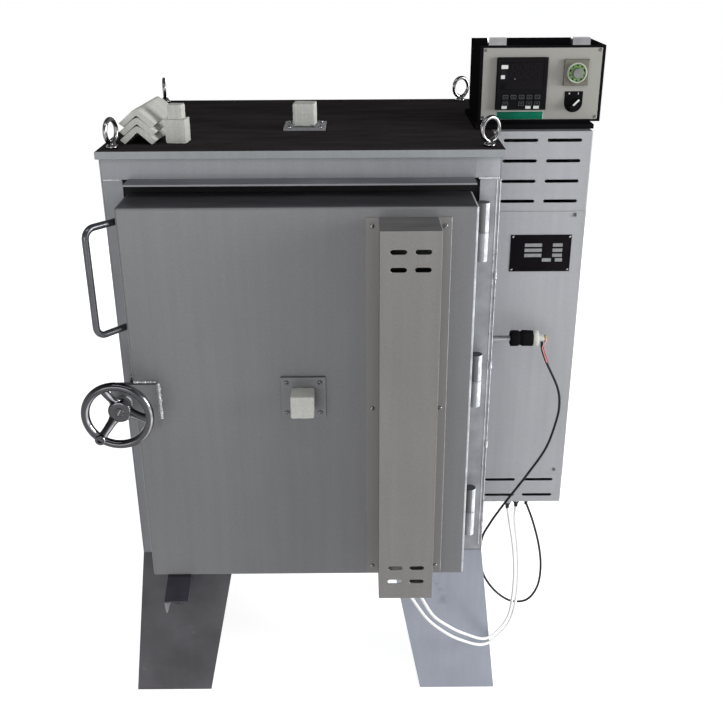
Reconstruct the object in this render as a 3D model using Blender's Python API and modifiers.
"""Front-loading electric pottery kiln, about 1.3 m tall, as separate pieces in metres.

Sizes are given with X across the front, Y from the front face of the case to the back and Z up from the floor.
The empty kiln_origin then moves everything, so that the world origin is the middle of the footprint, on the floor.
"""

import math

import bmesh
import bpy
from mathutils import Matrix, Vector

# Driving sizes of the case, the chamber and the door.
case_width = 0.700
case_depth = 0.564
case_height = 0.8247
leg_height = 0.332
case_sheet = 0.0027
case_corner_radius = 0.006
chamber_width = 0.460
chamber_depth = 0.441
chamber_height = 0.574
chamber_floor_height = 0.120
door_width = 0.607
door_height = 0.736
door_depth = 0.1035
door_left_share = 0.5053
door_drop = 0.019
door_rear_gap = 0.002
door_sheet = 0.0025
door_corner_radius = 0.004

# Clearances shared by all pieces.
seat = 0.0003
overrun = 0.010
weld_sink = 0.0015
hole_play = 0.003

# Lid tray and its vent.
lid_overhang = 0.0053
lid_lip = 0.0135
lid_sheet = 0.003
lid_edge_radius = 0.0015
vent_x = -0.002
vent_y = 0.218
vent_turn = math.radians(5)

# Front frame of welded angle, with the throat flange behind it.
frame_post = 0.037
frame_rail = 0.0464
frame_sill = 0.0353
frame_wall = 0.004
frame_leg = 0.034
throat_wall = 0.003
throat_margin = 0.016
ledge_width = 0.604
ledge_reach = 0.045
ledge_sheet = 0.003
ledge_rise = 0.001

# Legs.
leg_splay = 0.037
leg_plate = 0.005
leg_top_wing = 0.190
leg_foot_wing = 0.160

# Ramp that takes the weight of the closing door.
rest_left = -0.281
rest_width = 0.046
rest_plate = 0.004
rest_flat = 0.085
rest_reach = 0.150
rest_fall = 0.0275
rest_gap = 0.0015
rest_gusset_drop = 0.142

# Lining.
brick_side_play = 0.0043
brick_front_play = 0.0003
door_brick_play = 0.0003
plug_clearance = 0.006
plug_depth = 0.026

# Heating elements: one coiled wire in two rows for each heated wall.
wire_diameter = 0.0036
coil_radius = 0.011
curl_count = 14
curl_points = 8
wall_row_front = 0.0335
wall_row_end = 0.0275
door_row_start = 0.046
door_row_end = 0.034
row_spacing = 0.288
coil_cover = 0.0145
groove_play = 0.003
groove_slot = 0.016
link_slot = 0.010
tail_hole_radius = 0.005
right_tail_reach = 0.018
left_tail_reach = 0.0015

# Door seal.
rope_diameter = 0.0054
rope_margin = 0.030
rope_corner = 0.030
rope_corner_points = 5

# Barrel hinges.
hinge_x = 0.317
hinge_y = -0.024
hinge_radius = 0.0115
hinge_length = 0.106
hinge_spacing = 0.288
hinge_middle_rise = 0.013
hinge_split = 0.001
hinge_pin_radius = 0.0055
hinge_pin_rise = 0.038
hinge_bore_radius = 0.006
hinge_bore_depth = 0.041
hinge_lug_width = 0.012
hinge_lug_inset = 0.006

# Clamping screw with its handwheel.
clamp_x = -0.323
clamp_rise = 0.383
clamp_travel = 0.010
clamp_screw_radius = 0.008
clamp_plate_left = 0.022
clamp_plate_right = 0.061
clamp_plate_height = 0.070
clamp_plate_wall = 0.010
clamp_boss_radius = 0.015
clamp_boss_length = 0.006
clamp_bore_play = 0.0006
clamp_nut_radius = 0.013
clamp_nut_length = 0.024
clamp_tip_gap = 0.001
collar_length = 0.003
collar_radius = 0.014
wheel_radius = 0.0625
wheel_rim_radius = 0.006
wheel_hub_radius = 0.0165
wheel_hub_length = 0.020
wheel_dish = 0.012
wheel_spoke_radius = 0.0072
wheel_spoke_end_radius = 0.0056
wheel_spoke_count = 3
wheel_spoke_start = math.radians(233)
wheel_grip_boss_radius = 0.0095
wheel_grip_boss_length = 0.018
wheel_grip_hole_radius = 0.0045
wheel_hub_slot_width = 0.003
wheel_hub_slot_depth = 0.002

# Door handle, a bent round bar.
handle_bar = 0.012
handle_span = 0.190
handle_top_drop = 0.028
handle_setback = 0.0255
handle_reach = 0.070
handle_angle = math.radians(51.7)
handle_bend = 0.018
handle_bend_points = 5

# Square ceramic plugs with their flange plates.
plug_head = 0.042
plug_nose = 0.030
plug_nose_length = 0.025
plug_edge = 0.0012
flange_size = 0.080
flange_wall = 0.005
plug_hole = 0.036
peephole_x = -0.0015
peephole_rise = 0.388
plug_lift = 0.060

# Terminal cover on the door.
cover_x = 0.183
cover_width = 0.100
cover_depth = 0.083
cover_flange = 0.0225
cover_sheet = 0.0015
cover_top_drop = 0.018
cover_bottom_rise = 0.005
cover_slot_length = 0.028
cover_slot_height = 0.008
cover_slot_spacing = 0.040
cover_top_slot_drop = 0.035
cover_bottom_slot_rise = 0.038
cover_slot_pitch = 0.030
strip_width = 0.048
strip_wall = 0.014
strip_end = 0.030
strip_post_radius = 0.008
strip_post_length = 0.012
cable_clamp_shift = 0.019
cable_clamp_width = 0.040
cable_clamp_height = 0.026
cable_clamp_depth = 0.050
cable_clamp_front = 0.020

# Eye bolts.
eye_x = 0.330
eye_front_y = 0.025
eye_back_y = 0.540
eye_ring_radius = 0.0165
eye_ring_thickness = 0.008
eye_centre_height = 0.0335
eye_collar_radius = 0.0105
eye_collar_height = 0.007
eye_neck_radius = 0.0065

# Nested angle props and the spare plug on the lid.
prop_x = -0.290
prop_y = 0.052
prop_length = 0.150
prop_leg = 0.041
prop_wall = 0.010
prop_count = 3
prop_gap = 0.0003
spare_plug_x = -0.223
spare_plug_y = 0.079

# Electrical cabinet.
cabinet_width = 0.193
cabinet_setback = 0.163
cabinet_depth = 0.377
cabinet_height = 0.814
cabinet_sheet = 0.0015
cabinet_edge_radius = 0.002
cabinet_cover_bottom = 0.072
cabinet_cover_height = 0.588
cabinet_window_margin = 0.014
cabinet_cover_inset = 0.0008
slot_length = 0.066
slot_height = 0.006
slot_spacing = 0.083
slot_shift = 0.002
upper_slot_rows = 4
upper_slot_pitch = 0.039
upper_slot_drop = 0.017
lower_slot_rows = 2
lower_slot_pitch = 0.039
lower_slot_rise = 0.0175
slot_arc_points = 4
gear_plate_width = 0.150
gear_plate_height = 0.420
gear_plate_rise = 0.180
gear_plate_wall = 0.002
gear_plate_setback = 0.210
gear_block_width = 0.070
gear_block_height = 0.085
gear_block_depth = 0.060
gear_block_gap = 0.030
gear_foot = 0.012
gland_radius = 0.008
gland_length = 0.010

# Thermocouple through the right wall.
probe_y = 0.115
probe_rise = 0.427
probe_radius = 0.0055
probe_tip = 0.030
probe_reach = 0.052
head_radius = 0.0165
head_sleeve = 0.045
head_ring_radius = 0.0158
head_ring = 0.011
head_stud_radius = 0.008
head_studs = 0.017

# Control box on top.
base_left = 0.322
base_width = 0.226
base_front = 0.184
base_depth = 0.188
base_height = 0.0087
box_left = 0.330
box_width = 0.235
box_front = 0.2135
box_depth = 0.156
box_height = 0.140
box_chamfer = 0.014
box_sheet = 0.002
panel_rim = 0.006
panel_margin_side = 0.0055
panel_margin_top = 0.004
panel_wall = 0.002
clip_width = 0.033
clip_height = 0.013
clip_depth = 0.022
left_clip_inset = 0.015
right_clip_inset = 0.030
controller_left = 0.0263
controller_rise = 0.0191
controller_size = 0.096
controller_bezel = 0.008
controller_edge = 0.0015
display_margin = 0.008
display_height = 0.050
display_sink = 0.0015
key_width = 0.0112
key_height = 0.0086
key_pitch = 0.0152
key_first = 0.0181
key_row_rise = 0.0121
key_row_pitch = 0.0123
key_columns = 5
key_gap = 0.0004
key_travel = 0.0008
key_proud = 0.0012
key_thick = 0.0025
key_pocket = 0.0030
timer_left = 0.1526
timer_rise = 0.0634
timer_size = 0.048
timer_bezel = 0.006
timer_ring_radius = 0.0187
timer_ring_length = 0.006
timer_knob_radius = 0.0100
timer_knob_length = 0.010
selector_x = 0.176
selector_rise = 0.0307
selector_radius = 0.0135
selector_disc = 0.004
selector_bar_width = 0.006
selector_bar_length = 0.024
selector_bar_height = 0.010
selector_turn = math.radians(45)

# Cords: sizes, and their routes as points chosen by hand.
white_cable_diameter = 0.006
lead_diameter = 0.005
supply_diameter = 0.008
cord_step_share = 2.6
lead_step_share = 3.0
cord_gap = 0.0003
white_route_a = (
    (0.241, -0.134, 0.272),
    (0.280, -0.110, 0.222),
    (0.314, -0.082, 0.182),
    (0.356, -0.048, 0.141),
    (0.387, -0.019, 0.132),
    (0.422, 0.036, 0.131),
    (0.438, 0.085, 0.147),
    (0.445, 0.120, 0.189),
    (0.444, 0.148, 0.234),
    (0.436, 0.168, 0.287),
)
white_route_b = (
    (0.228, -0.140, 0.270),
    (0.268, -0.119, 0.217),
    (0.304, -0.092, 0.175),
    (0.350, -0.057, 0.133),
    (0.384, -0.026, 0.122),
    (0.424, 0.030, 0.120),
    (0.446, 0.084, 0.139),
    (0.454, 0.122, 0.185),
    (0.454, 0.152, 0.234),
    (0.448, 0.172, 0.290),
)
lead_route = (
    (0.470, 0.115, 0.728),
    (0.480, 0.115, 0.703),
    (0.505, 0.113, 0.650),
    (0.512, 0.112, 0.609),
    (0.507, 0.113, 0.565),
    (0.492, 0.116, 0.506),
    (0.463, 0.122, 0.447),
    (0.433, 0.130, 0.391),
    (0.407, 0.138, 0.342),
    (0.387, 0.146, 0.298),
    (0.374, 0.154, 0.258),
    (0.371, 0.161, 0.200),
    (0.382, 0.170, 0.150),
    (0.400, 0.176, 0.112),
    (0.426, 0.182, 0.078),
    (0.458, 0.186, 0.056),
    (0.493, 0.188, 0.059),
    (0.515, 0.190, 0.094),
    (0.520, 0.192, 0.146),
    (0.512, 0.192, 0.206),
    (0.494, 0.192, 0.272),
)
supply_route = (
    (0.382, 0.262, 0.300),
    (0.356, 0.276, 0.262),
    (0.330, 0.300, 0.252),
    (0.306, 0.330, 0.270),
)
white_gland_a = (0.430, 0.178)
white_gland_b = (0.450, 0.184)
lead_gland = (0.474, 0.192)
supply_gland = (0.396, 0.250)
supply_end = (0.295, 0.350)
supply_boss_radius = 0.010
supply_boss_drop = 0.018
cable_exit_a = (0.009, -0.030)
cable_exit_b = (-0.009, -0.036)
lead_exit_inset = 0.0085

# Numbers of sides on round pieces.
fine_sides = 28
round_sides = 20
small_sides = 14

# Places worked out from the sizes above.
case_half = case_width / 2
case_top = leg_height + case_height
case_inner = case_half - case_sheet
lid_top = leg_height + case_height + seat + lid_sheet
frame_half = case_inner - seat
frame_bottom = leg_height + case_sheet + seat
frame_top = case_top - seat
opening_half = case_half - frame_post
throat_back = frame_wall + throat_wall
chamber_half = chamber_width / 2
chamber_bottom = leg_height + chamber_floor_height
chamber_top = chamber_bottom + chamber_height
chamber_middle = chamber_bottom + chamber_height / 2
brick_front = throat_back + brick_front_play
brick_back = case_depth - case_sheet - seat
brick_half = case_inner - frame_wall - 2 * seat
brick_bottom = frame_bottom + frame_wall + seat
brick_top = frame_top - frame_wall - seat
chamber_back = brick_front + chamber_depth
wall_row = chamber_depth - wall_row_front - wall_row_end
door_row = chamber_width - door_row_start - door_row_end
door_row_x = chamber_half - door_row_start
door_left = -door_width * door_left_share
door_right = door_left + door_width
door_front = -door_rear_gap - door_depth
door_back = -door_rear_gap
door_bottom = leg_height + door_drop
door_top = door_bottom + door_height
door_middle = door_bottom + door_height / 2
clamp_z = door_bottom + clamp_rise
peephole_z = door_bottom + peephole_rise
cover_front = door_front - seat - cover_depth
cover_top = door_top - cover_top_drop
cover_bottom = door_bottom + cover_bottom_rise
row_heights = (chamber_middle - row_spacing / 2, chamber_middle + row_spacing / 2)
rope_half = chamber_half + rope_margin
rope_y = (frame_wall + door_back) / 2
hinge_heights = tuple(door_middle + hinge_middle_rise + step * hinge_spacing for step in (-1, 0, 1))
probe_z = leg_height + probe_rise
cabinet_left = case_half + seat
cabinet_right = cabinet_left + cabinet_width
cabinet_bottom = lid_top - cabinet_height
cabinet_cover_low = cabinet_bottom + cabinet_cover_bottom
cabinet_cover_high = cabinet_cover_low + cabinet_cover_height
base_top = lid_top + seat + base_height
box_bottom = base_top + seat
box_top = box_bottom + box_height
panel_left = box_left + panel_margin_side
panel_bottom = box_bottom + panel_margin_top
panel_front = box_front
head_start = case_half + probe_reach

# The footprint, whose middle is the world origin.
footprint_left = -case_half - leg_splay
footprint_right = box_left + box_width
footprint_front = cover_front
footprint_back = case_depth + leg_splay
origin_shift = Vector((-(footprint_left + footprint_right) / 2, -(footprint_front + footprint_back) / 2, 0))

# Outlines are drawn flat and then stood up: on the front view, or on the side view.
front_view = Matrix.Rotation(math.radians(90), 4, "X")
side_view = Matrix(((0, 0, 1, 0), (1, 0, 0, 0), (0, 1, 0, 0), (0, 0, 0, 1)))
plan_view = Matrix.Identity(4)


def clear_scene():
    for obj in list(bpy.data.objects):
        bpy.data.objects.remove(obj, do_unlink=True)


def new_collection(name):
    collection = bpy.data.collections.new(name)
    bpy.context.scene.collection.children.link(collection)
    return collection


def paint(name, color, roughness, metallic=0.0):
    material = bpy.data.materials.new(name)
    material.use_nodes = True
    shader = material.node_tree.nodes["Principled BSDF"]
    shader.inputs["Base Color"].default_value = (*color, 1)
    shader.inputs["Roughness"].default_value = roughness
    shader.inputs["Metallic"].default_value = metallic
    material.diffuse_color = (*color, 1)
    return material


def add_axis(name, at, parent=None):
    """An empty on a joint's axis, or at the kiln's own zero."""
    axis = bpy.data.objects.new(name, None)
    parts.objects.link(axis)
    axis["at"] = tuple(at)
    hang(axis, at, parent)
    return axis


def hang(obj, at, parent):
    obj.parent = parent
    start = Vector(parent["at"]) if parent else Vector()
    obj.location = Vector(at) - start


def add_box(mesh, low, high):
    made = bmesh.ops.create_cube(mesh, size=1)
    low, high = Vector(low), Vector(high)
    place = Matrix.Translation((low + high) / 2) @ Matrix.Diagonal((*(high - low), 1))
    bmesh.ops.transform(mesh, matrix=place, verts=made["verts"])
    return made["verts"]


def add_cylinder(mesh, start, end, radius, sides, end_radius=None):
    start, end = Vector(start), Vector(end)
    along = end - start
    made = bmesh.ops.create_cone(
        mesh,
        cap_ends=True,
        segments=sides,
        radius1=radius,
        radius2=radius if end_radius is None else end_radius,
        depth=along.length,
    )
    turn = along.to_track_quat("Z", "Y").to_matrix().to_4x4()
    bmesh.ops.transform(mesh, matrix=Matrix.Translation((start + end) / 2) @ turn, verts=made["verts"])
    return made["verts"]


def add_outline(mesh, outline, thickness, view, middle):
    """A flat closed outline with a thickness, stood up on one of the views and moved to its middle."""
    curve = bpy.data.curves.new("outline", "CURVE")
    curve.dimensions = "2D"
    curve.fill_mode = "BOTH"
    curve.extrude = thickness / 2
    spline = curve.splines.new("POLY")
    spline.points.add(len(outline) - 1)
    for point, (across, up) in zip(spline.points, outline):
        point.co = (across, up, 0, 1)
    spline.use_cyclic_u = True
    flat = mesh_of_curve(curve)
    flat.transform(Matrix.Translation(middle) @ view)
    mesh.from_mesh(flat)
    bpy.data.meshes.remove(flat)
    bmesh.ops.remove_doubles(mesh, verts=mesh.verts, dist=1e-6)


def mesh_of_curve(curve):
    holder = bpy.data.objects.new("curve", curve)
    bpy.context.scene.collection.objects.link(holder)
    graph = bpy.context.evaluated_depsgraph_get()
    mesh = bpy.data.meshes.new_from_object(holder.evaluated_get(graph))
    bpy.data.objects.remove(holder)
    bpy.data.curves.remove(curve)
    return mesh


def round_edges(mesh, radius, chosen, segments=2):
    edges = [edge for edge in mesh.edges if chosen(*(vert.co for vert in edge.verts))]
    bmesh.ops.bevel(mesh, geom=edges, offset=radius, segments=segments, affect="EDGES", profile=0.5)


def solid(name, mesh, material, at=(0, 0, 0), parent=None, smooth=False):
    """The finished piece: its mesh, drawn in the kiln's coordinates, gets its origin at the given place."""
    obj = from_bmesh(name, mesh, at, parent or origin)
    obj.data.materials.append(material)
    parts.objects.link(obj)
    if smooth:
        obj.data.shade_smooth()
        obj.data.set_sharp_from_angle(angle=sharp_angle)
    return obj


def helper(name, mesh, like):
    """A shape that is only cut from, or joined to, the piece that it follows."""
    obj = from_bmesh(name, mesh, like["at"], like.parent)
    obj.hide_render = True
    obj.display_type = "WIRE"
    cutters.objects.link(obj)
    return obj


def from_bmesh(name, mesh, at, parent):
    bmesh.ops.translate(mesh, vec=-Vector(at), verts=mesh.verts)
    bmesh.ops.recalc_face_normals(mesh, faces=mesh.faces)
    data = bpy.data.meshes.new(name)
    mesh.to_mesh(data)
    mesh.free()
    obj = bpy.data.objects.new(name, data)
    obj["at"] = tuple(at)
    hang(obj, at, parent)
    return obj


def boolean(obj, other, operation):
    modifier = obj.modifiers.new(other.name, "BOOLEAN")
    modifier.operation = operation
    modifier.object = other


def cut(obj, name, mesh):
    boolean(obj, helper(name, mesh, obj), "DIFFERENCE")


def join(obj, name, mesh):
    boolean(obj, helper(name, mesh, obj), "UNION")


def box_mesh(*boxes):
    mesh = bmesh.new()
    for low, high in boxes:
        add_box(mesh, low, high)
    return mesh


def cylinder_mesh(*cylinders):
    mesh = bmesh.new()
    for start, end, radius, sides in cylinders:
        add_cylinder(mesh, start, end, radius, sides)
    return mesh


def turned(name, profile, sides, material, axis_turn, at, parent=None):
    """A turned piece: its profile runs down the outer side, and turns about the piece's own Z."""
    data = bpy.data.meshes.new(name)
    points = [(radius, 0, height) for radius, height in profile]
    data.from_pydata(points, [(i, i + 1) for i in range(len(points) - 1)], [])
    data.materials.append(material)
    obj = bpy.data.objects.new(name, data)
    parts.objects.link(obj)
    obj["at"] = tuple(at)
    hang(obj, at, parent or origin)
    obj.rotation_euler = axis_turn
    screw = obj.modifiers.new("turn", "SCREW")
    screw.steps = sides
    screw.render_steps = sides
    screw.use_merge_vertices = True
    screw.merge_threshold = 1e-5
    screw.use_smooth_shade = True
    return obj


def tube_curve(name, points, diameter, resolution, cyclic=False):
    curve = bpy.data.curves.new(name, "CURVE")
    curve.dimensions = "3D"
    curve.bevel_depth = diameter / 2
    curve.bevel_resolution = resolution
    curve.use_fill_caps = not cyclic
    spline = curve.splines.new("POLY")
    spline.points.add(len(points) - 1)
    for point, place in zip(spline.points, points):
        point.co = (*place, 1)
    spline.use_cyclic_u = cyclic
    return curve


def tube(name, points, diameter, material, parent=None, at=(0, 0, 0), resolution=2, cyclic=False):
    places = [Vector(point) - Vector(at) for point in points]
    curve = tube_curve(name, places, diameter, resolution, cyclic)
    curve.materials.append(material)
    obj = bpy.data.objects.new(name, curve)
    parts.objects.link(obj)
    obj["at"] = tuple(at)
    hang(obj, at, parent or origin)
    return obj


def arc(centre, radius, start, end, count):
    """Points on an arc, both ends counted. Angles in radians."""
    angles = [start + (end - start) * step / (count - 1) for step in range(count)]
    return [(centre[0] + radius * math.cos(a), centre[1] + radius * math.sin(a)) for a in angles]


def folded(path, thickness):
    """The outline of a sheet folded along a path, with its thickness on the path's left side."""
    points = [Vector(point) for point in path]
    normals = []
    for start, end in zip(points, points[1:]):
        along = (end - start).normalized()
        normals.append(Vector((-along.y, along.x)))
    inner = [points[0] + thickness * normals[0]]
    for point, before, after in zip(points[1:], normals, normals[1:]):
        inner.append(point + thickness * (before + after) / (1 + before.dot(after)))
    inner.append(points[-1] + thickness * normals[-1])
    return [tuple(point) for point in points + inner[::-1]]


def stadium(centre_x, centre_z, length, height):
    """A slot's outline with round ends."""
    reach = (length - height) / 2
    half_turn = math.pi / 2
    right = arc((centre_x + reach, centre_z), height / 2, -half_turn, half_turn, slot_arc_points)
    left = arc((centre_x - reach, centre_z), height / 2, half_turn, 3 * half_turn, slot_arc_points)
    return right + left


def smooth_route(points, step):
    """Evenly spaced points on a smooth curve through the route, with a straight piece at each end."""
    places = [Vector(point) for point in points]
    fine = []
    for before, start, end, after in zip(places, places[1:], places[2:], places[3:]):
        for part in range(route_parts):
            t = part / route_parts
            fine.append(
                0.5
                * (
                    2 * start
                    + (end - before) * t
                    + (2 * before - 5 * start + 4 * end - after) * t**2
                    + (3 * start - before - 3 * end + after) * t**3
                )
            )
    fine.append(places[-2])
    lengths = [0]
    for start, end in zip(fine, fine[1:]):
        lengths.append(lengths[-1] + (end - start).length)
    count = max(2, round(lengths[-1] / step))
    even = []
    index = 0
    for number in range(count + 1):
        goal = lengths[-1] * number / count
        while index < len(fine) - 2 and lengths[index + 1] < goal:
            index += 1
        share = (goal - lengths[index]) / (lengths[index + 1] - lengths[index])
        even.append(fine[index].lerp(fine[index + 1], share))
    ends = (places[1] - places[0]).length + (places[-1] - places[-2]).length
    return [places[0]] + even + [places[-1]], lengths[-1] + ends


route_parts = 24
sharp_angle = math.radians(35)

clear_scene()
parts = new_collection("pottery_kiln")
cutters = new_collection("kiln_cutters")

case_paint = paint("case_paint", (0.235, 0.245, 0.262), 0.42)
leg_paint = paint("leg_paint", (0.150, 0.155, 0.180), 0.40)
cover_paint = paint("cover_paint", (0.250, 0.232, 0.215), 0.42)
dark_lid = paint("lid_sheet", (0.060, 0.060, 0.066), 0.30)
box_black = paint("box_black", (0.012, 0.012, 0.014), 0.45)
panel_grey = paint("panel_grey", (0.420, 0.410, 0.390), 0.45)
key_black = paint("key_black", (0.020, 0.020, 0.022), 0.50)
dial_green = paint("dial_green", (0.180, 0.300, 0.090), 0.50)
chrome = paint("chrome", (0.600, 0.600, 0.620), 0.12, 1.0)
steel = paint("steel", (0.330, 0.330, 0.340), 0.35, 1.0)
ceramic = paint("ceramic", (0.760, 0.750, 0.720), 0.85)
firebrick = paint("firebrick", (0.700, 0.640, 0.520), 0.95)
element_wire = paint("element_wire", (0.200, 0.170, 0.150), 0.60, 0.8)
rope_white = paint("rope", (0.700, 0.700, 0.660), 0.95)
cable_white = paint("cable_white", (0.800, 0.800, 0.790), 0.60)
cable_black = paint("cable_black", (0.015, 0.015, 0.015), 0.50)

origin = add_axis("kiln_origin", (0, 0, 0))
origin.location = origin_shift


def build_case():
    """Sides and back from one folded sheet, with the floor welded in."""
    r = case_corner_radius
    turn = math.pi / 2
    path = [(case_half, 0)]
    path += arc((case_half - r, case_depth - r), r, 0, turn, 4)
    path += arc((r - case_half, case_depth - r), r, turn, 2 * turn, 4)
    path += [(-case_half, 0)]
    mesh = bmesh.new()
    add_outline(mesh, folded(path, case_sheet), case_height, plan_view, (0, 0, leg_height + case_height / 2))
    wrap = solid("case_wrap", mesh, case_paint)
    half = case_inner + weld_sink
    floor_low = (-half, 0, leg_height)
    floor_high = (half, case_depth - case_sheet + weld_sink, leg_height + case_sheet)
    join(wrap, "case_floor", box_mesh((floor_low, floor_high)))
    x, y = supply_end
    gland_low = (x, y, leg_height - supply_boss_drop)
    gland_high = (x, y, leg_height + case_sheet / 2)
    join(wrap, "supply_gland", cylinder_mesh((gland_low, gland_high, supply_boss_radius, small_sides)))
    holes = [((case_inner - overrun, probe_y, probe_z), (case_half + overrun, probe_y, probe_z))]
    tail_y = chamber_back - wall_row_end
    for height in row_heights:
        holes.append(((case_inner - overrun, tail_y, height), (case_half + overrun, tail_y, height)))
    radii = (probe_radius + hole_play, tail_hole_radius, tail_hole_radius)
    cut(wrap, "case_holes", cylinder_mesh(*((*hole, radius, small_sides) for hole, radius in zip(holes, radii))))


def build_lid():
    """A folded tray that sits over the case like a lid, with a square vent hole."""
    half = case_half + lid_overhang
    low = Vector((-half, -lid_overhang, lid_top - lid_lip))
    high = Vector((half, case_depth + lid_overhang, lid_top))
    mesh = box_mesh((low, high))
    round_edges(mesh, lid_edge_radius, lambda a, b: min(a.z, b.z) > lid_top - overrun / 2)
    lid = solid("lid_tray", mesh, dark_lid)
    wall = Vector((lid_sheet, lid_sheet, 0))
    cut(lid, "lid_inside", box_mesh((low + wall - Vector((0, 0, overrun)), high - wall - Vector((0, 0, lid_sheet)))))
    cut(lid, "lid_vent", box_mesh(square_hole(vent_x, vent_y, lid_top - lid_sheet - overrun, lid_top + overrun)))


def square_hole(x, y, low, high):
    half = plug_hole / 2
    return (x - half, y - half, low), (x + half, y + half, high)


def build_frame():
    """The door opening's angle frame, its throat flange, the ledge, the lower hinge halves and the clamp nut."""
    mesh = box_mesh(((-frame_half, 0, frame_bottom), (frame_half, frame_leg, frame_top)))
    frame = solid("front_frame", mesh, case_paint)
    sill = leg_height + frame_sill + case_sheet
    rail = case_top - frame_rail
    cut(
        frame,
        "frame_opening",
        box_mesh(((-opening_half, -overrun, sill), (opening_half, frame_wall, rail))),
    )
    half = chamber_half + throat_margin
    low = chamber_bottom - throat_margin
    high = chamber_top + throat_margin
    cut(frame, "frame_mouth", box_mesh(((-half, -overrun, low), (half, frame_leg + overrun, high))))
    inner = frame_half - frame_wall
    cut(
        frame,
        "frame_pocket",
        box_mesh(
            (
                (-inner, throat_back, frame_bottom + frame_wall),
                (inner, frame_leg + overrun, frame_top - frame_wall),
            )
        ),
    )
    ledge_top = rail + ledge_rise
    ledge_low = (-ledge_width / 2, -ledge_reach, ledge_top - ledge_sheet)
    join(frame, "ledge", box_mesh((ledge_low, (ledge_width / 2, weld_sink, ledge_top))))
    lugs = []
    barrels = []
    pins = []
    for height in hinge_heights:
        low = height - hinge_length / 2
        high = height - hinge_split / 2
        barrels.append(((hinge_x, hinge_y, low), (hinge_x, hinge_y, high), hinge_radius, round_sides))
        pin_low = high - hinge_lug_inset
        pins.append(((hinge_x, hinge_y, pin_low), (hinge_x, hinge_y, high + hinge_pin_rise), hinge_pin_radius, 16))
        half = hinge_lug_width / 2
        lug_low = (hinge_x - half, hinge_y, low + hinge_lug_inset)
        lugs.append((lug_low, (hinge_x + half, weld_sink, high - hinge_lug_inset)))
    join(frame, "hinge_lugs_frame", box_mesh(*lugs))
    join(frame, "hinge_barrels_frame", cylinder_mesh(*barrels))
    join(frame, "hinge_pins", cylinder_mesh(*pins))
    nut = ((clamp_x, -clamp_nut_length, clamp_z), (clamp_x, weld_sink, clamp_z), clamp_nut_radius, fine_sides)
    join(frame, "clamp_nut", cylinder_mesh(nut))
    bore = clamp_screw_radius + clamp_bore_play
    cut(
        frame,
        "clamp_nut_bore",
        cylinder_mesh(
            (
                (clamp_x, -clamp_nut_length - overrun, clamp_z),
                (clamp_x, throat_back + overrun, clamp_z),
                bore,
                fine_sides,
            )
        ),
    )


def leg_outline(side_x, side_y, outward, wing, height):
    """The plan of one leg at one height: two plates that meet at the case's corner."""
    corner_x = case_half + outward
    corner_y = -outward if side_y < 0 else case_depth + outward
    inward = -side_y
    t = leg_plate
    plan = ((0, 0), (wing, 0), (wing, t), (t, t), (t, wing), (0, wing))
    return [Vector((side_x * (corner_x - u), corner_y + inward * v, height)) for u, v in plan]


def build_leg(name, side_x, side_y):
    """A splayed leg, lofted from its top plan to its foot plan."""
    top = leg_outline(side_x, side_y, 0, leg_top_wing, leg_height - seat)
    foot = leg_outline(side_x, side_y, leg_splay, leg_foot_wing, 0)
    mesh = bmesh.new()
    upper = [mesh.verts.new(point) for point in top]
    lower = [mesh.verts.new(point) for point in foot]
    mesh.faces.new(upper)
    mesh.faces.new(lower)
    for index in range(len(upper)):
        after = (index + 1) % len(upper)
        mesh.faces.new((upper[index], upper[after], lower[after], lower[index]))
    return solid(name, mesh, leg_paint)


def add_door_rest(leg):
    """The bent ramp that the closed door stands over, with its gusset, welded to the front left leg."""
    top = door_bottom - rest_gap
    mesh = bmesh.new()
    path = [(-rest_reach, top - rest_fall), (-rest_flat, top), (-seat, top)]
    middle_x = rest_left + rest_width / 2
    add_outline(mesh, folded(path, -rest_plate), rest_width, side_view, (middle_x, 0, 0))
    join(leg, "rest_plate", mesh)
    mesh = bmesh.new()
    low = top - rest_gusset_drop
    sink = rest_plate / 2
    lean = leg_splay / leg_height
    leg_face = -lean * (leg_height - low)
    gusset = [
        (-rest_reach + sink, top - rest_fall - sink),
        (-rest_flat, top - sink),
        (-seat, top - sink),
        (-seat, leg_height - seat),
        (weld_sink - seat, leg_height - 2 * seat),
        (leg_face + weld_sink, low),
    ]
    add_outline(mesh, gusset, rest_plate, side_view, (rest_left + rest_plate / 2, 0, 0))
    join(leg, "rest_gusset", mesh)


def build_legs():
    for row, side_y in (("front", -1), ("back", 1)):
        for column, side_x in (("left", -1), ("right", 1)):
            leg = build_leg(f"leg_{row}_{column}", side_x, side_y)
            if (side_x, side_y) == (-1, -1):
                add_door_rest(leg)


def groove_outline(face, inward):
    """The keyhole section of a coil groove: depth into the wall along X, height along Y, about the coil's axis."""
    radius = coil_radius + wire_diameter / 2 + groove_play
    open_angle = math.asin(groove_slot / 2 / radius)
    start = math.pi - open_angle if inward > 0 else -open_angle
    points = arc((face + inward * coil_cover, 0), radius, start, start - 2 * (math.pi - open_angle), 13)
    if inward < 0:
        points = arc((face + inward * coil_cover, 0), radius, open_angle, 2 * math.pi - open_angle, 13)
    points.append((face - inward * overrun, points[-1][1]))
    points.append((face - inward * overrun, points[0][1]))
    return points


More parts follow.
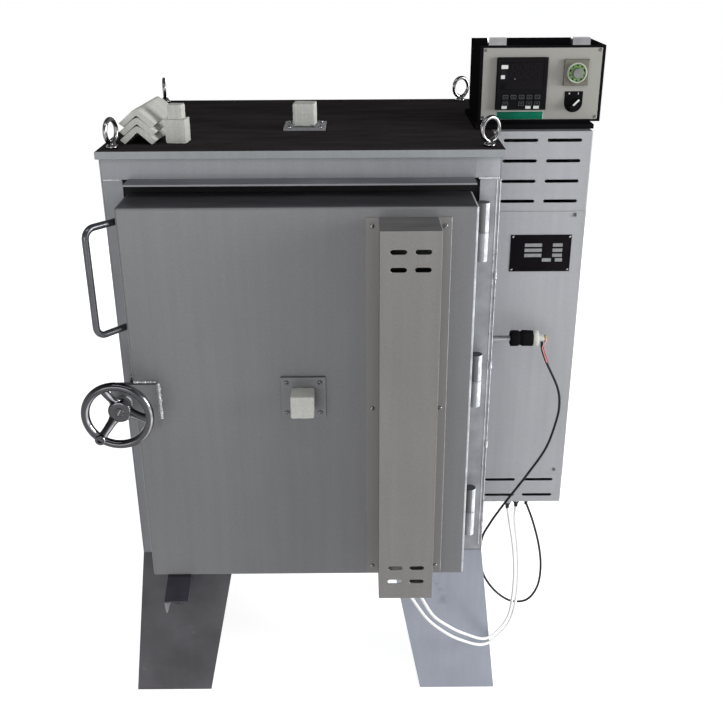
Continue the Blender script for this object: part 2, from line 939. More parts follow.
def add_wall_grooves(wall, side):
    """Two rows along the wall, the slot that links them at the front and the holes for the two tails."""
    face = side * chamber_half
    rear = chamber_back - wall_row_end
    play = coil_radius
    mesh = bmesh.new()
    middle_y = rear - wall_row / 2
    outline = groove_outline(face, side)
    upright = Matrix(((1, 0, 0, 0), (0, 0, 1, 0), (0, 1, 0, 0), (0, 0, 0, 1)))
    for height in row_heights:
        add_outline(mesh, outline, wall_row + 2 * play, upright, (0, middle_y, height))
    cut(wall, wall.name + "_grooves", mesh)
    deep = coil_cover + coil_radius + wire_diameter
    front = rear - wall_row
    xs = sorted((face - side * overrun, face + side * deep))
    link_low = (xs[0], front - link_slot / 2, row_heights[0])
    link_high = (xs[1], front + link_slot / 2, row_heights[1])
    cut(wall, wall.name + "_link", box_mesh((link_low, link_high)))
    tails = []
    for height in row_heights:
        start = (face + side * coil_cover, rear, height)
        end = (side * (brick_half + overrun), rear, height)
        tails.append((start, end, wire_diameter / 2 + seat, small_sides))
    cut(wall, wall.name + "_tails", cylinder_mesh(*tails))


def build_lining():
    """Five walls of insulating firebrick: floor, roof, left, right and back."""
    low = (-brick_half, brick_front, brick_bottom)
    solid("brick_floor", box_mesh((low, (brick_half, brick_back, chamber_bottom))), firebrick)
    high = (brick_half, brick_back, brick_top)
    roof = solid("brick_roof", box_mesh(((-brick_half, brick_front, chamber_top), high)), firebrick)
    cut(roof, "roof_vent", box_mesh(square_hole(vent_x, vent_y, chamber_top - overrun, brick_top + overrun)))
    wall_low = chamber_bottom + seat
    wall_high = chamber_top - seat
    for name, side in (("brick_left", -1), ("brick_right", 1)):
        xs = sorted((side * chamber_half, side * brick_half))
        mesh = box_mesh(((xs[0], brick_front, wall_low), (xs[1], brick_back, wall_high)))
        wall = solid(name, mesh, firebrick)
        add_wall_grooves(wall, side)
        if side > 0:
            start = (chamber_half - overrun, probe_y, probe_z)
            end = (brick_half + overrun, probe_y, probe_z)
            cut(wall, "probe_hole", cylinder_mesh((start, end, probe_radius + hole_play, small_sides)))
    inner = chamber_half - seat
    solid("brick_back", box_mesh(((-inner, chamber_back, wall_low), (inner, brick_back, wall_high))), firebrick)


def coil_points(row_length, tail_length):
    """One element in its own terms: distance along the row, depth behind the coil's axis, and height."""
    upper, lower = row_heights[1], row_heights[0]
    pitch = row_length / curl_count
    lead_in = (tail_length, coil_radius + 3 * wire_diameter, coil_radius + wire_diameter)
    points = [(0, depth, upper) for depth in lead_in]
    steps = curl_count * curl_points
    for row, height in ((0, upper), (1, lower)):
        for step in range(steps + 1):
            angle = 2 * math.pi * step / curl_points
            along = pitch * step / curl_points
            along = row_length - along if row else along
            points.append((along, coil_radius * math.cos(angle), height - coil_radius * math.sin(angle)))
        if row == 0:
            link = [upper - (upper - lower) * part / 4 for part in (1, 2, 3)]
            points += [(row_length, coil_radius, between) for between in link]
    points += [(0, depth, lower) for depth in lead_in[::-1]]
    return points


def least_gap(points):
    """The least distance between stretches of the wire that aren't neighbours, less the wire's own thickness."""
    near = curl_points // 2 + 1
    places = [Vector(point) for point in points]
    least = min(
        (places[i] - places[j]).length for i in range(len(places)) for j in range(i + near, len(places))
    )
    return least - wire_diameter


def build_element(name, place, row_length, tail_length, parent=None, at=(0, 0, 0)):
    points = [place(*point) for point in coil_points(row_length, tail_length)]
    print(f"{name}: {len(points)} points, least gap to itself {least_gap(points):.4f} m")
    tube(name, points, wire_diameter, element_wire, parent, at, resolution=1)


def build_wall_elements():
    rear = chamber_back - wall_row_end
    wall = brick_half - chamber_half - coil_cover
    reaches = {-1: wall + left_tail_reach, 1: case_half - chamber_half - coil_cover + right_tail_reach}
    for name, side in (("element_left", -1), ("element_right", 1)):
        build_element(
            name,
            lambda along, depth, height, side=side: (
                side * (chamber_half + coil_cover + depth),
                rear - along,
                height,
            ),
            wall_row,
            reaches[side],
        )


def build_thermocouple():
    low = (chamber_half - probe_tip, probe_y, probe_z)
    high = (head_start - seat, probe_y, probe_z)
    solid("thermocouple_sheath", cylinder_mesh((low, high, probe_radius, round_sides)), steel, smooth=True)
    steps = (
        (0, 0),
        (head_radius, 0),
        (head_radius, -head_sleeve),
        (head_ring_radius, -head_sleeve),
        (head_ring_radius, -head_sleeve - head_ring),
        (head_stud_radius, -head_sleeve - head_ring),
        (head_stud_radius, -head_sleeve - head_ring - head_studs),
        (0, -head_sleeve - head_ring - head_studs),
    )
    at = (head_start, probe_y, probe_z)
    turned("thermocouple_head", steps, round_sides, key_black, (0, math.radians(-90), 0), at)


def plug_mesh(x, y, z, direction, turn=0):
    """A square plug whose head's seat is at the place given, with its nose pointing along the direction."""
    mesh = bmesh.new()
    half = plug_head / 2
    add_box(mesh, (-half, -half, -plug_head), (half, half, 0))
    round_edges(mesh, plug_edge, lambda a, b: True, 1)
    nose = bmesh.new()
    half = plug_nose / 2
    add_box(nose, (-half, -half, -weld_sink), (half, half, plug_nose_length))
    turn_to = Vector(direction).to_track_quat("Z", "Y").to_matrix().to_4x4() @ Matrix.Rotation(turn, 4, "Z")
    place = Matrix.Translation((x, y, z)) @ turn_to
    bmesh.ops.transform(mesh, matrix=place, verts=mesh.verts)
    bmesh.ops.transform(nose, matrix=place, verts=nose.verts)
    return mesh, nose


def build_plug(name, at, direction, parent=None, turn=0):
    axis = add_axis(name + "_slide", at, parent or origin)
    head, nose = plug_mesh(*at, direction, turn)
    plug = solid(name, head, ceramic, at, axis)
    join(plug, name + "_nose", nose)
    return plug


def build_vent():
    half = flange_size / 2
    low = (vent_x - half, vent_y - half, lid_top + seat)
    high = (vent_x + half, vent_y + half, lid_top + seat + flange_wall)
    flange = solid("vent_flange", box_mesh((low, high)), case_paint)
    cut(flange, "vent_flange_hole", box_mesh(square_hole(vent_x, vent_y, lid_top - overrun, high[2] + overrun)))
    build_plug("vent_plug", (vent_x, vent_y, high[2] + seat), (0, 0, -1), turn=vent_turn)
    place = (spare_plug_x, spare_plug_y, lid_top + seat + plug_head)
    build_plug("spare_plug", place, (0, 0, 1))


def build_props():
    """Ceramic angles nested like tents, standing on their lower edges."""
    slant = prop_wall * math.sqrt(2)
    apex = prop_leg / math.sqrt(2) + prop_wall / math.sqrt(2)
    axis = add_axis("prop_stack_lift", (prop_x, prop_y, lid_top), origin)
    for number in range(prop_count):
        top = lid_top + seat + apex + number * (slant + prop_gap)
        reach = prop_leg / math.sqrt(2)
        path = [(prop_x - reach, top - reach), (prop_x, top), (prop_x + reach, top - reach)]
        mesh = bmesh.new()
        middle = (0, prop_y + prop_length / 2, 0)
        add_outline(mesh, folded(path, -prop_wall), prop_length, front_view, middle)
        solid(f"angle_prop_{number + 1}", mesh, ceramic, (prop_x, prop_y, lid_top), axis)


def build_eye_bolts():
    """Lifting eyes: a ring on a turned collar."""
    places = (
        ("front_left", -eye_x, eye_front_y, 38),
        ("front_right", eye_x, eye_front_y, 20),
        ("back_left", -eye_x, eye_back_y, 80),
        ("back_right", eye_x, eye_back_y, 0),
    )
    for name, x, y, degrees in places:
        bottom = lid_top + seat
        profile = (
            (0, eye_collar_height + eye_neck_radius),
            (eye_neck_radius, eye_collar_height + eye_neck_radius),
            (eye_neck_radius, eye_collar_height),
            (eye_collar_radius, eye_collar_height),
            (eye_collar_radius, 0),
            (0, 0),
        )
        bolt = turned(f"eye_bolt_{name}", profile, small_sides, steel, (0, 0, 0), (x, y, bottom))
        bpy.ops.mesh.primitive_torus_add(
            major_segments=18,
            minor_segments=8,
            major_radius=eye_ring_radius,
            minor_radius=eye_ring_thickness / 2,
        )
        ring = bpy.context.active_object
        ring.name = f"eye_ring_{name}"
        for collection in list(ring.users_collection):
            collection.objects.unlink(ring)
        cutters.objects.link(ring)
        ring.hide_render = True
        ring.display_type = "WIRE"
        ring.rotation_euler = (math.radians(90), 0, math.radians(degrees))
        hang(ring, (x, y, bottom + eye_centre_height), origin)
        boolean(bolt, ring, "UNION")


def build_cabinet():
    """The sheet cabinet on the right side: open towards the case, slotted above and below its cover."""
    front = cabinet_setback
    back = front + cabinet_depth
    low = Vector((cabinet_left, front, cabinet_bottom))
    high = Vector((cabinet_right, back, lid_top))
    mesh = box_mesh((low, high))
    round_edges(mesh, cabinet_edge_radius, lambda a, b: min(a.x, b.x) > cabinet_right - overrun)
    shell = solid("cabinet_shell", mesh, case_paint)
    wall = Vector((0, cabinet_sheet, cabinet_sheet))
    inner_low = low + wall - Vector((overrun, 0, 0))
    inner_high = high - wall - Vector((cabinet_sheet, 0, 0))
    cut(shell, "cabinet_inside", box_mesh((inner_low, inner_high)))
    margin = cabinet_window_margin
    window_low = (cabinet_left + margin, front - overrun, cabinet_cover_low + margin)
    window_high = (cabinet_right - margin, front + cabinet_sheet + overrun, cabinet_cover_high - margin)
    cut(shell, "cabinet_window", box_mesh((window_low, window_high)))
    lip = lid_top - lid_lip - hole_play
    notch_right = case_half + lid_overhang + seat
    notch_low = (cabinet_left - overrun, front - overrun, lip)
    cut(shell, "cabinet_notch", box_mesh((notch_low, (notch_right, back + overrun, lid_top + overrun))))
    mesh = bmesh.new()
    middle_x = (cabinet_left + cabinet_right) / 2 + slot_shift
    heights = [lid_top - upper_slot_drop - row * upper_slot_pitch for row in range(upper_slot_rows)]
    heights += [cabinet_bottom + lower_slot_rise + row * lower_slot_pitch for row in range(lower_slot_rows)]
    for height in heights:
        for side in (-1, 1):
            outline = stadium(middle_x + side * slot_spacing / 2, height, slot_length, slot_height)
            add_outline(mesh, outline, 2 * overrun, front_view, (0, front, 0))
    cut(shell, "cabinet_slots", mesh)
    glands = []
    for x, y in (white_gland_a, white_gland_b, lead_gland, supply_gland):
        bottom = cabinet_bottom - gland_length
        glands.append(((x, y, bottom), (x, y, cabinet_bottom + cabinet_sheet / 2), gland_radius, small_sides))
    join(shell, "cabinet_glands", cylinder_mesh(*glands))
    inset = cabinet_cover_inset
    cover_low = (cabinet_left + inset, front - seat - cabinet_sheet, cabinet_cover_low)
    cover_high = (cabinet_right - inset, front - seat, cabinet_cover_high)
    solid("cabinet_cover", box_mesh((cover_low, cover_high)), case_paint)


def build_gear():
    """Switching gear on a plate inside the cabinet: two contactors over a terminal row."""
    middle_x = (cabinet_left + cabinet_right) / 2
    y = cabinet_setback + gear_plate_setback
    low = cabinet_bottom + gear_plate_rise
    half = gear_plate_width / 2
    plate = ((middle_x - half, y, low), (middle_x + half, y + gear_plate_wall, low + gear_plate_height))
    gear = solid("cabinet_gear", box_mesh(plate), panel_grey)
    blocks = []
    for number in range(3):
        block_low = low + gear_block_gap + number * (gear_block_height + gear_block_gap)
        block_half = gear_block_width / 2
        blocks.append(
            (
                (middle_x - block_half, y - gear_block_depth, block_low),
                (middle_x + block_half, y + gear_plate_wall / 2, block_low + gear_block_height),
            )
        )
    join(gear, "gear_blocks", box_mesh(*blocks))
    feet = []
    back = cabinet_setback + cabinet_depth - cabinet_sheet - seat
    for height in (low + gear_block_gap, low + gear_plate_height - gear_block_gap):
        foot = gear_foot / 2
        feet.append(
            (
                (middle_x - foot, y + gear_plate_wall / 2, height - foot),
                (middle_x + foot, back, height + foot),
            )
        )
    join(gear, "gear_feet", box_mesh(*feet))


def build_control_box():
    """The instrument box on its base plate, with its front panel let in flush."""
    low = (base_left, base_front, lid_top + seat)
    solid("control_base", box_mesh((low, (base_left + base_width, base_front + base_depth, base_top))), box_black)
    chamfer = box_chamfer
    back = box_front + box_depth
    outline = [
        (box_front, box_bottom),
        (back - chamfer, box_bottom),
        (back, box_bottom + chamfer),
        (back, box_top),
        (box_front, box_top),
    ]
    mesh = bmesh.new()
    add_outline(mesh, outline, box_width, side_view, (box_left + box_width / 2, 0, 0))
    shell = solid("control_box", mesh, box_black)
    inner_width = box_width - 2 * panel_margin_side
    inner_height = box_height - 2 * panel_margin_top
    pocket_low = (panel_left, box_front - overrun, panel_bottom)
    pocket_high = (panel_left + inner_width, box_front + panel_wall + seat, panel_bottom + inner_height)
    cut(shell, "panel_pocket", box_mesh((pocket_low, pocket_high)))
    rim_back = pocket_high[1] + box_sheet
    window_low = (pocket_low[0] + panel_rim, box_front, pocket_low[2] + panel_rim)
    window_high = (pocket_high[0] - panel_rim, rim_back + overrun, pocket_high[2] - panel_rim)
    cut(shell, "panel_window", box_mesh((window_low, window_high)))
    lean = box_sheet * (math.sqrt(2) - 1)
    hollow = [
        (rim_back, box_bottom + box_sheet),
        (back - chamfer - lean, box_bottom + box_sheet),
        (back - box_sheet, box_bottom + chamfer + lean),
        (back - box_sheet, box_top - box_sheet),
        (rim_back, box_top - box_sheet),
    ]
    mesh = bmesh.new()
    add_outline(mesh, hollow, box_width - 2 * box_sheet, side_view, (box_left + box_width / 2, 0, 0))
    cut(shell, "box_inside", mesh)
    clips = []
    for left in (box_left + left_clip_inset, box_left + box_width - right_clip_inset - clip_width):
        clip_low = (left, box_front + weld_sink, box_top - weld_sink)
        clips.append((clip_low, (left + clip_width, box_front + clip_depth, box_top + clip_height)))
    join(shell, "box_clips", box_mesh(*clips))
    panel_low = (panel_left + seat, panel_front, panel_bottom + seat)
    panel_high = (
        panel_left + inner_width - seat,
        panel_front + panel_wall,
        panel_bottom + inner_height - seat,
    )
    solid("control_panel", box_mesh((panel_low, panel_high)), panel_grey)


def build_controller():
    """The program controller: its bezel with a sunk display, and keys that travel in their pockets."""
    left = panel_left + controller_left
    bottom = panel_bottom + controller_rise
    front = panel_front - seat - controller_bezel
    size = controller_size
    mesh = box_mesh(((left, front, bottom), (left + size, panel_front - seat, bottom + size)))
    round_edges(mesh, controller_edge, lambda a, b: max(a.y, b.y) < front + controller_bezel / 2, 1)
    controller = solid("program_controller", mesh, key_black)
    margin = display_margin
    display_low = (left + margin, front - overrun, bottom + size - margin - display_height)
    display_high = (left + size - margin, front + display_sink, bottom + size - margin)
    cut(controller, "display", box_mesh((display_low, display_high)))
    pockets = []
    number = 0
    for row, missing in ((1, ()), (0, (1,))):
        for column in range(key_columns):
            if column in missing:
                continue
            number += 1
            x = left + key_first + column * key_pitch
            z = bottom + key_row_rise + row * key_row_pitch
            half_width = key_width / 2
            half_height = key_height / 2
            gap = key_gap
            pocket_low = (x - half_width - gap, front - overrun, z - half_height - gap)
            pockets.append((pocket_low, (x + half_width + gap, front + key_pocket, z + half_height + gap)))
            at = (x, front - key_proud, z)
            axis = add_axis(f"key_{number}_press", at, origin)
            key_low = (x - half_width, at[1], z - half_height)
            key_high = (x + half_width, at[1] + key_thick, z + half_height)
            solid(f"key_{number}", box_mesh((key_low, key_high)), key_black, at, axis)
    cut(controller, "key_pockets", box_mesh(*pockets))


def build_timer():
    left = panel_left + timer_left
    bottom = panel_bottom + timer_rise
    front = panel_front - seat - timer_bezel
    mesh = box_mesh(((left, front, bottom), (left + timer_size, panel_front - seat, bottom + timer_size)))
    round_edges(mesh, controller_edge, lambda a, b: max(a.y, b.y) < front + timer_bezel / 2, 1)
    solid("timer_body", mesh, panel_grey)
    at = (left + timer_size / 2, front - seat, bottom + timer_size / 2)
    axis = add_axis("timer_turn", at, origin)
    profile = (
        (0, timer_ring_length + timer_knob_length),
        (timer_knob_radius, timer_ring_length + timer_knob_length),
        (timer_knob_radius, timer_ring_length),
        (timer_ring_radius, timer_ring_length),
        (timer_ring_radius, 0),
        (0, 0),
    )
    turned("timer_knob", profile, fine_sides, dial_green, (math.radians(90), 0, 0), at, axis)


def build_selector():
    at = (panel_left + selector_x, panel_front - seat, panel_bottom + selector_rise)
    axis = add_axis("selector_turn", at, origin)
    disc_front = at[1] - selector_disc
    disc = ((at[0], at[1], at[2]), (at[0], disc_front, at[2]), selector_radius, round_sides)
    knob = solid("selector_knob", cylinder_mesh(disc), key_black, at, axis)
    bar = bmesh.new()
    half_width = selector_bar_width / 2
    half_length = selector_bar_length / 2
    bar_front = selector_disc + selector_bar_height
    add_box(bar, (-half_width, -bar_front, -half_length), (half_width, -selector_disc / 2, half_length))
    place = Matrix.Translation(at) @ Matrix.Rotation(selector_turn, 4, "Y")
    bmesh.ops.transform(bar, matrix=place, verts=bar.verts)
    join(knob, "selector_bar", bar)


def build_door():
    """The deep sheet door with its upper hinge halves and the welded clamp plate."""
    axis = add_axis("door_axis", (hinge_x, hinge_y, door_middle), origin)
    low = Vector((door_left, door_front, door_bottom))
    high = Vector((door_right, door_back, door_top))
    mesh = box_mesh((low, high))
    round_edges(mesh, door_corner_radius, lambda a, b: min(a.y, b.y) < door_front + door_sheet)
    at = axis["at"]
    shell = solid("door_shell", mesh, case_paint, at, axis)
    wall = Vector((door_sheet, 0, door_sheet))
    inner_low = low + wall + Vector((0, door_sheet, 0))
    cut(shell, "door_inside", box_mesh((inner_low, high - wall + Vector((0, overrun, 0)))))
    half = plug_hole / 2
    hole_low = (peephole_x - half, door_front - overrun, peephole_z - half)
    hole = (hole_low, (peephole_x + half, door_front + overrun, peephole_z + half))
    cut(shell, "door_peephole", box_mesh(hole))
    tails = []
    for height in row_heights:
        start = (door_row_x, door_front - overrun, height)
        end = (door_row_x, door_front + overrun, height)
        tails.append((start, end, tail_hole_radius + hole_play, small_sides))
    cut(shell, "door_tail_holes", cylinder_mesh(*tails))
    barrels = []
    bores = []
    lugs = []
    for height in hinge_heights:
        bottom = height + hinge_split / 2
        top = height + hinge_length / 2
        barrels.append(((hinge_x, hinge_y, bottom), (hinge_x, hinge_y, top), hinge_radius, round_sides))
        bore_top = bottom + hinge_bore_depth
        bores.append(((hinge_x, hinge_y, bottom - overrun), (hinge_x, hinge_y, bore_top), hinge_bore_radius, 16))
        half = hinge_lug_width / 2
        lug_low = (door_right - weld_sink, hinge_y - half, bottom + hinge_lug_inset)
        lugs.append((lug_low, (hinge_x - hinge_bore_radius, hinge_y + half, top - hinge_lug_inset)))
    join(shell, "hinge_lugs_door", box_mesh(*lugs))
    join(shell, "hinge_barrels_door", cylinder_mesh(*barrels))
    cut(shell, "hinge_bores", cylinder_mesh(*bores))
    plate_front = door_front - clamp_plate_wall
    half = clamp_plate_height / 2
    plate_low = (clamp_x - clamp_plate_left, plate_front, clamp_z - half)
    plate_high = (clamp_x + clamp_plate_right, door_front + weld_sink, clamp_z + half)
    join(shell, "clamp_plate", box_mesh((plate_low, plate_high)))
    boss_front = plate_front - clamp_boss_length
    boss = ((clamp_x, boss_front, clamp_z), (clamp_x, door_front, clamp_z), clamp_boss_radius, fine_sides)
    join(shell, "clamp_boss", cylinder_mesh(boss))
    bore_end = (clamp_x, door_front + overrun, clamp_z)
    bore = ((clamp_x, boss_front - overrun, clamp_z), bore_end, clamp_screw_radius + clamp_bore_play, fine_sides)
    cut(shell, "clamp_bore", cylinder_mesh(bore))
    build_door_brick(axis)
    build_door_seal(axis)
    build_handle(axis)
    build_terminal_cover(axis)
    build_terminal_strip(axis)
    build_peephole(axis)
    build_clamp(axis)
    face = door_back + plug_depth
    build_element(
        "element_door",
        lambda along, depth, height: (door_row_x - along, face - coil_cover - depth, height),
        door_row,
        face - coil_cover - (door_front - seat - strip_wall - strip_post_length),
        axis,
        at,
    )


def build_door_brick(axis):
    """The door's firebrick with the raised plug that enters the chamber's mouth."""
    play = door_sheet + door_brick_play
    low = (door_left + play, door_front + play, door_bottom + play)
    mesh = box_mesh((low, (door_right - play, door_back, door_top - play)))
    brick = solid("door_brick", mesh, firebrick, axis["at"], axis)
    face = door_back + plug_depth
    half = chamber_half - plug_clearance
    plug_low = (-half, door_back - weld_sink, chamber_bottom + plug_clearance)
    join(brick, "door_brick_plug", box_mesh((plug_low, (half, face, chamber_top - plug_clearance))))
    outline = groove_outline(face, -1)
    mesh = bmesh.new()
    along_x = Matrix(((0, 0, 1, 0), (1, 0, 0, 0), (0, 1, 0, 0), (0, 0, 0, 1)))
    middle_x = door_row_x - door_row / 2
    for height in row_heights:
        add_outline(mesh, outline, door_row + 2 * coil_radius, along_x, (middle_x, 0, height))
    cut(brick, "door_grooves", mesh)
    deep = coil_cover + coil_radius + wire_diameter
    link_x = door_row_x - door_row
    link_low = (link_x - link_slot / 2, face - deep, row_heights[0])
    cut(brick, "door_link", box_mesh((link_low, (link_x + link_slot / 2, face + overrun, row_heights[1]))))
    tails = []
    for height in row_heights:
        start = (door_row_x, door_front - overrun, height)
        tails.append((start, (door_row_x, face - coil_cover, height), wire_diameter / 2 + seat, small_sides))
    cut(brick, "door_brick_tails", cylinder_mesh(*tails))
    half = plug_hole / 2
    hole_low = (peephole_x - half, door_front - overrun, peephole_z - half)
    hole = (hole_low, (peephole_x + half, face + overrun, peephole_z + half))
    cut(brick, "door_brick_peephole", box_mesh(hole))


def build_door_seal(axis):
    """Ceramic rope round the plug, pinched between the door and the throat flange."""
    turn = math.pi / 2
    r = rope_corner
    low = chamber_bottom - rope_margin
    high = chamber_top + rope_margin
    corners = (
        (rope_half - r, high - r, 0),
        (r - rope_half, high - r, turn),
        (r - rope_half, low + r, 2 * turn),
        (rope_half - r, low + r, 3 * turn),
    )
    points = []
    for x, z, start in corners:
        points += arc((x, z), r, start, start + turn, rope_corner_points)
    path = [(x, rope_y, z) for x, z in points]
    tube("door_seal", path, rope_diameter, rope_white, axis, axis["at"], resolution=1, cyclic=True)


def build_handle(axis):
    """A round bar bent twice, welded to the door's left side and leaning out and forwards."""
    top = door_top - handle_top_drop
    out = Vector((-math.cos(handle_angle), -math.sin(handle_angle), 0))
    start = Vector((door_left - seat, door_front + handle_setback, top))
    up = Vector((0, 0, 1))
    bend = handle_bend
    points = [start]
    for centre_height, first in ((top - bend, math.pi / 2), (top - handle_span + bend, 0)):
        centre = start + out * (handle_reach - bend)
        for step in range(handle_bend_points):
            angle = first - math.pi / 2 * step / (handle_bend_points - 1)
            place = centre + out * bend * math.cos(angle)
            points.append(Vector((place.x, place.y, centre_height)) + up * bend * math.sin(angle))
    points.append(start - up * handle_span)
    for end in (0, -1):
        points[end] = points[end] - out * handle_bar
    mesh = bmesh.new()
    bar = mesh_of_curve(tube_curve("door_handle", points, handle_bar, 2))
    mesh.from_mesh(bar)
    bpy.data.meshes.remove(bar)
    bmesh.ops.remove_doubles(mesh, verts=mesh.verts, dist=1e-6)
    handle = solid("door_handle", mesh, steel, axis["at"], axis, smooth=True)
    trim_low = (door_left - seat, door_front - overrun, door_bottom)
    trim_high = (door_left + handle_reach, door_back + overrun, door_top)
    cut(handle, "handle_trim", box_mesh((trim_low, trim_high)))


def build_terminal_cover(axis):
    """A hat section with slots near both ends, closed at the top and open at the bottom."""
    back = door_front - seat
    half = cover_width / 2
    outer = half + cover_flange
    path = [
        (cover_x + outer, back - cover_sheet),
        (cover_x + half, back - cover_sheet),
        (cover_x + half, cover_front),
        (cover_x - half, cover_front),
        (cover_x - half, back - cover_sheet),
        (cover_x - outer, back - cover_sheet),
    ]
    height = cover_top - cover_bottom
    mesh = bmesh.new()
    outline = folded(path, -cover_sheet)
    add_outline(mesh, outline, height, plan_view, (0, 0, cover_bottom + height / 2))
    cover = solid("terminal_cover", mesh, cover_paint, axis["at"], axis)
    sink = cover_sheet / 2
    cap_low = (cover_x - half + sink, cover_front + sink, cover_top - cover_sheet)
    join(cover, "cover_cap", box_mesh((cap_low, (cover_x + half - sink, back, cover_top))))
    slots = bmesh.new()
    heights = [cover_top - cover_top_slot_drop - row * cover_slot_pitch for row in (0, 1)]
    heights += [cover_bottom + cover_bottom_slot_rise + row * cover_slot_pitch for row in (0, 1)]
    for slot_z in heights:
        for side in (-1, 1):
            x = cover_x + side * cover_slot_spacing / 2
            outline = stadium(x, slot_z, cover_slot_length, cover_slot_height)
            add_outline(slots, outline, 2 * overrun, front_view, (0, cover_front, 0))
    cut(cover, "cover_slots", slots)


def build_terminal_strip(axis):
    """Ceramic strip under the cover that takes the two tails, with the clamp where the cables leave."""
    back = door_front - seat
    half = strip_width / 2
    top = row_heights[1] + strip_end
    strip_low = (door_row_x - half, back - strip_wall, door_bottom)
    mesh = box_mesh((strip_low, (door_row_x + half, back, top)))
    strip = solid("terminal_strip", mesh, ceramic, axis["at"], axis)
    holes = []
    for height in row_heights:
        start = (door_row_x, back - strip_wall - overrun, height)
        end = (door_row_x, back + overrun, height)
        holes.append((start, end, wire_diameter / 2 + seat, small_sides))
    cut(strip, "strip_holes", cylinder_mesh(*holes))
    clamp_x = cover_x + cable_clamp_shift
    clamp_low = (clamp_x - cable_clamp_width / 2, cover_front + cable_clamp_front, door_bottom)
    clamp_high = (clamp_x + cable_clamp_width / 2, back - strip_wall + weld_sink, door_bottom + cable_clamp_height)
    join(strip, "cable_clamp", box_mesh((clamp_low, clamp_high)))


def build_peephole(axis):
    half = flange_size / 2
    back = door_front - seat
    low = (peephole_x - half, back - flange_wall, peephole_z - half)
    high = (peephole_x + half, back, peephole_z + half)
    flange = solid("peephole_flange", box_mesh((low, high)), case_paint, axis["at"], axis)
    half = plug_hole / 2
    hole_low = (peephole_x - half, back - flange_wall - overrun, peephole_z - half)
    hole = (hole_low, (peephole_x + half, back + overrun, peephole_z + half))
    cut(flange, "peephole_flange_hole", box_mesh(hole))
    at = (peephole_x, back - flange_wall - seat, peephole_z)
    build_plug("peephole_plug", at, (0, 1, 0), axis)


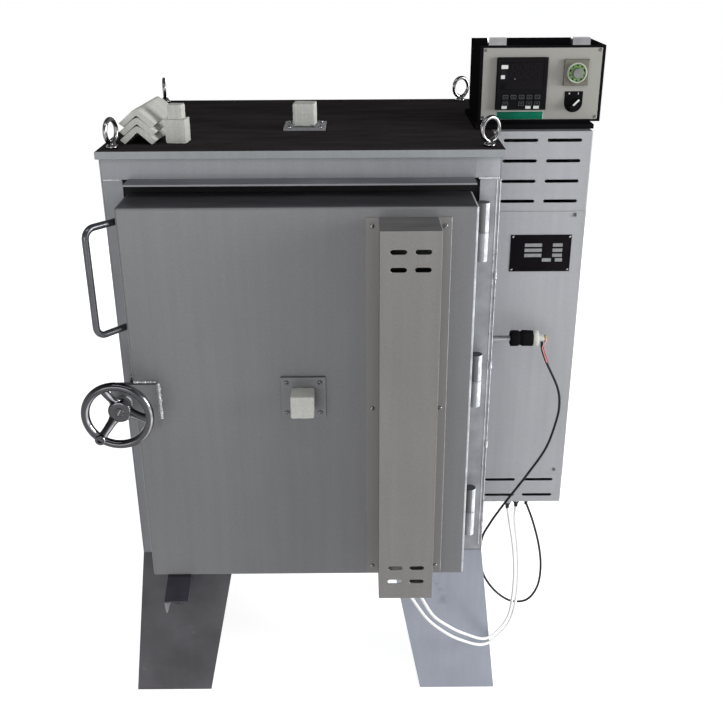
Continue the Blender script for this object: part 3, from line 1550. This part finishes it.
def build_clamp(axis):
    """The clamping screw with its dished three-spoke handwheel, and the collar that pushes on the door."""
    boss_front = door_front - clamp_plate_wall - clamp_boss_length
    collar_back = boss_front - seat - clamp_travel
    slide = add_axis("clamp_slide", (clamp_x, collar_back, clamp_z), axis)
    at = slide["at"]
    ring = ((clamp_x, collar_back - collar_length, clamp_z), at, collar_radius, round_sides)
    collar = solid("thrust_collar", cylinder_mesh(ring), steel, at, slide, smooth=True)
    bore = clamp_screw_radius + clamp_bore_play
    start = (clamp_x, collar_back - collar_length - overrun, clamp_z)
    end = (clamp_x, collar_back + overrun, clamp_z)
    cut(collar, "collar_bore", cylinder_mesh((start, end, bore, fine_sides)))
    hub_back = collar_back - collar_length - seat
    hub_front = hub_back - wheel_hub_length
    rim_y = hub_front - wheel_dish
    spin = add_axis("wheel_spin", at, slide)
    tip_y = -clamp_nut_length - clamp_tip_gap
    hub = ((clamp_x, hub_front, clamp_z), (clamp_x, hub_back, clamp_z), wheel_hub_radius, fine_sides)
    wheel = solid("clamp_handwheel", cylinder_mesh(hub), chrome, at, spin, smooth=True)
    screw = ((clamp_x, hub_back - weld_sink, clamp_z), (clamp_x, tip_y, clamp_z), clamp_screw_radius, fine_sides)
    join(wheel, "clamp_screw", cylinder_mesh(screw))
    rim_reach = wheel_radius - wheel_rim_radius
    spokes = bmesh.new()
    spoke_start_y = hub_back - wheel_hub_length / 2
    inner_reach = wheel_hub_radius - 2 * weld_sink
    for number in range(wheel_spoke_count):
        angle = wheel_spoke_start + number * 2 * math.pi / wheel_spoke_count
        out = Vector((math.cos(angle), 0, math.sin(angle)))
        centre = Vector((clamp_x, 0, clamp_z))
        start = centre + out * inner_reach + Vector((0, spoke_start_y, 0))
        end = centre + out * rim_reach + Vector((0, rim_y, 0))
        add_cylinder(spokes, start, end, wheel_spoke_radius, 10, wheel_spoke_end_radius)
    join(wheel, "wheel_spokes", spokes)
    bpy.ops.mesh.primitive_torus_add(
        major_segments=36,
        minor_segments=10,
        major_radius=rim_reach,
        minor_radius=wheel_rim_radius,
    )
    rim = bpy.context.active_object
    rim.name = "wheel_rim"
    for collection in list(rim.users_collection):
        collection.objects.unlink(rim)
    cutters.objects.link(rim)
    rim.hide_render = True
    rim.display_type = "WIRE"
    rim.rotation_euler = (math.radians(90), 0, 0)
    hang(rim, (clamp_x, rim_y, clamp_z), spin)
    boolean(wheel, rim, "UNION")
    out = Vector((math.cos(wheel_spoke_start), 0, math.sin(wheel_spoke_start)))
    grip = Vector((clamp_x, rim_y, clamp_z)) + out * rim_reach
    half = Vector((0, wheel_grip_boss_length / 2, 0))
    join(wheel, "grip_boss", cylinder_mesh((grip - half, grip + half, wheel_grip_boss_radius, small_sides)))
    hole = (grip - 2 * half, grip + 2 * half, wheel_grip_hole_radius, 10)
    cut(wheel, "grip_hole", cylinder_mesh(hole))
    slot = wheel_hub_slot_width / 2
    slot_low = (clamp_x - slot, hub_front - overrun, clamp_z - clamp_screw_radius)
    slot_high = (clamp_x + slot, hub_front + wheel_hub_slot_depth, clamp_z + clamp_screw_radius)
    cut(wheel, "hub_slot", box_mesh((slot_low, slot_high)))


def build_cord(name, start, route, end, diameter, material, step_share):
    """A cord that leaves straight down from its start, follows its route and arrives straight up at its end."""
    down = Vector((0, 0, -diameter))
    start, end = Vector(start), Vector(end)
    leave = (start, start + down, start + 2 * down)
    arrive = (end + 2 * down, end + down, end)
    even, length = smooth_route((*leave, *route, *arrive), diameter * step_share)
    print(f"{name}: {len(even)} points, {length:.3f} m long")
    tube(name, even, diameter, material)


def build_cords():
    """Element cables, the thermocouple's lead and the supply cable, each hanging from gland to gland."""
    gland_end = cabinet_bottom - gland_length - cord_gap
    clamp_end = door_bottom - cord_gap
    clamp_y = cover_front + cable_clamp_front + cable_clamp_depth
    whites = (
        ("white_cable_a", cable_exit_a, white_route_a, white_gland_a),
        ("white_cable_b", cable_exit_b, white_route_b, white_gland_b),
    )
    for name, (dx, dy), route, gland in whites:
        start = (cover_x + cable_clamp_shift + dx, clamp_y + dy, clamp_end)
        end = (*gland, gland_end)
        build_cord(name, start, route, end, white_cable_diameter, cable_white, cord_step_share)
    start_x = head_start + head_sleeve + head_ring + lead_exit_inset
    start = (start_x, probe_y, probe_z - head_stud_radius - cord_gap)
    end = (*lead_gland, gland_end)
    build_cord("thermocouple_lead", start, lead_route, end, lead_diameter, cable_black, lead_step_share)
    start = (*supply_gland, gland_end)
    end = (*supply_end, leg_height - supply_boss_drop - cord_gap)
    build_cord("supply_cable", start, supply_route, end, supply_diameter, cable_black, cord_step_share)


build_case()
build_lid()
build_frame()
build_legs()
build_lining()
build_wall_elements()
build_thermocouple()
build_vent()
build_props()
build_eye_bolts()
build_cabinet()
build_gear()
build_control_box()
build_controller()
build_timer()
build_selector()
build_door()
build_cords()
print("pieces:", len([obj for obj in parts.objects if obj.type != "EMPTY"]))
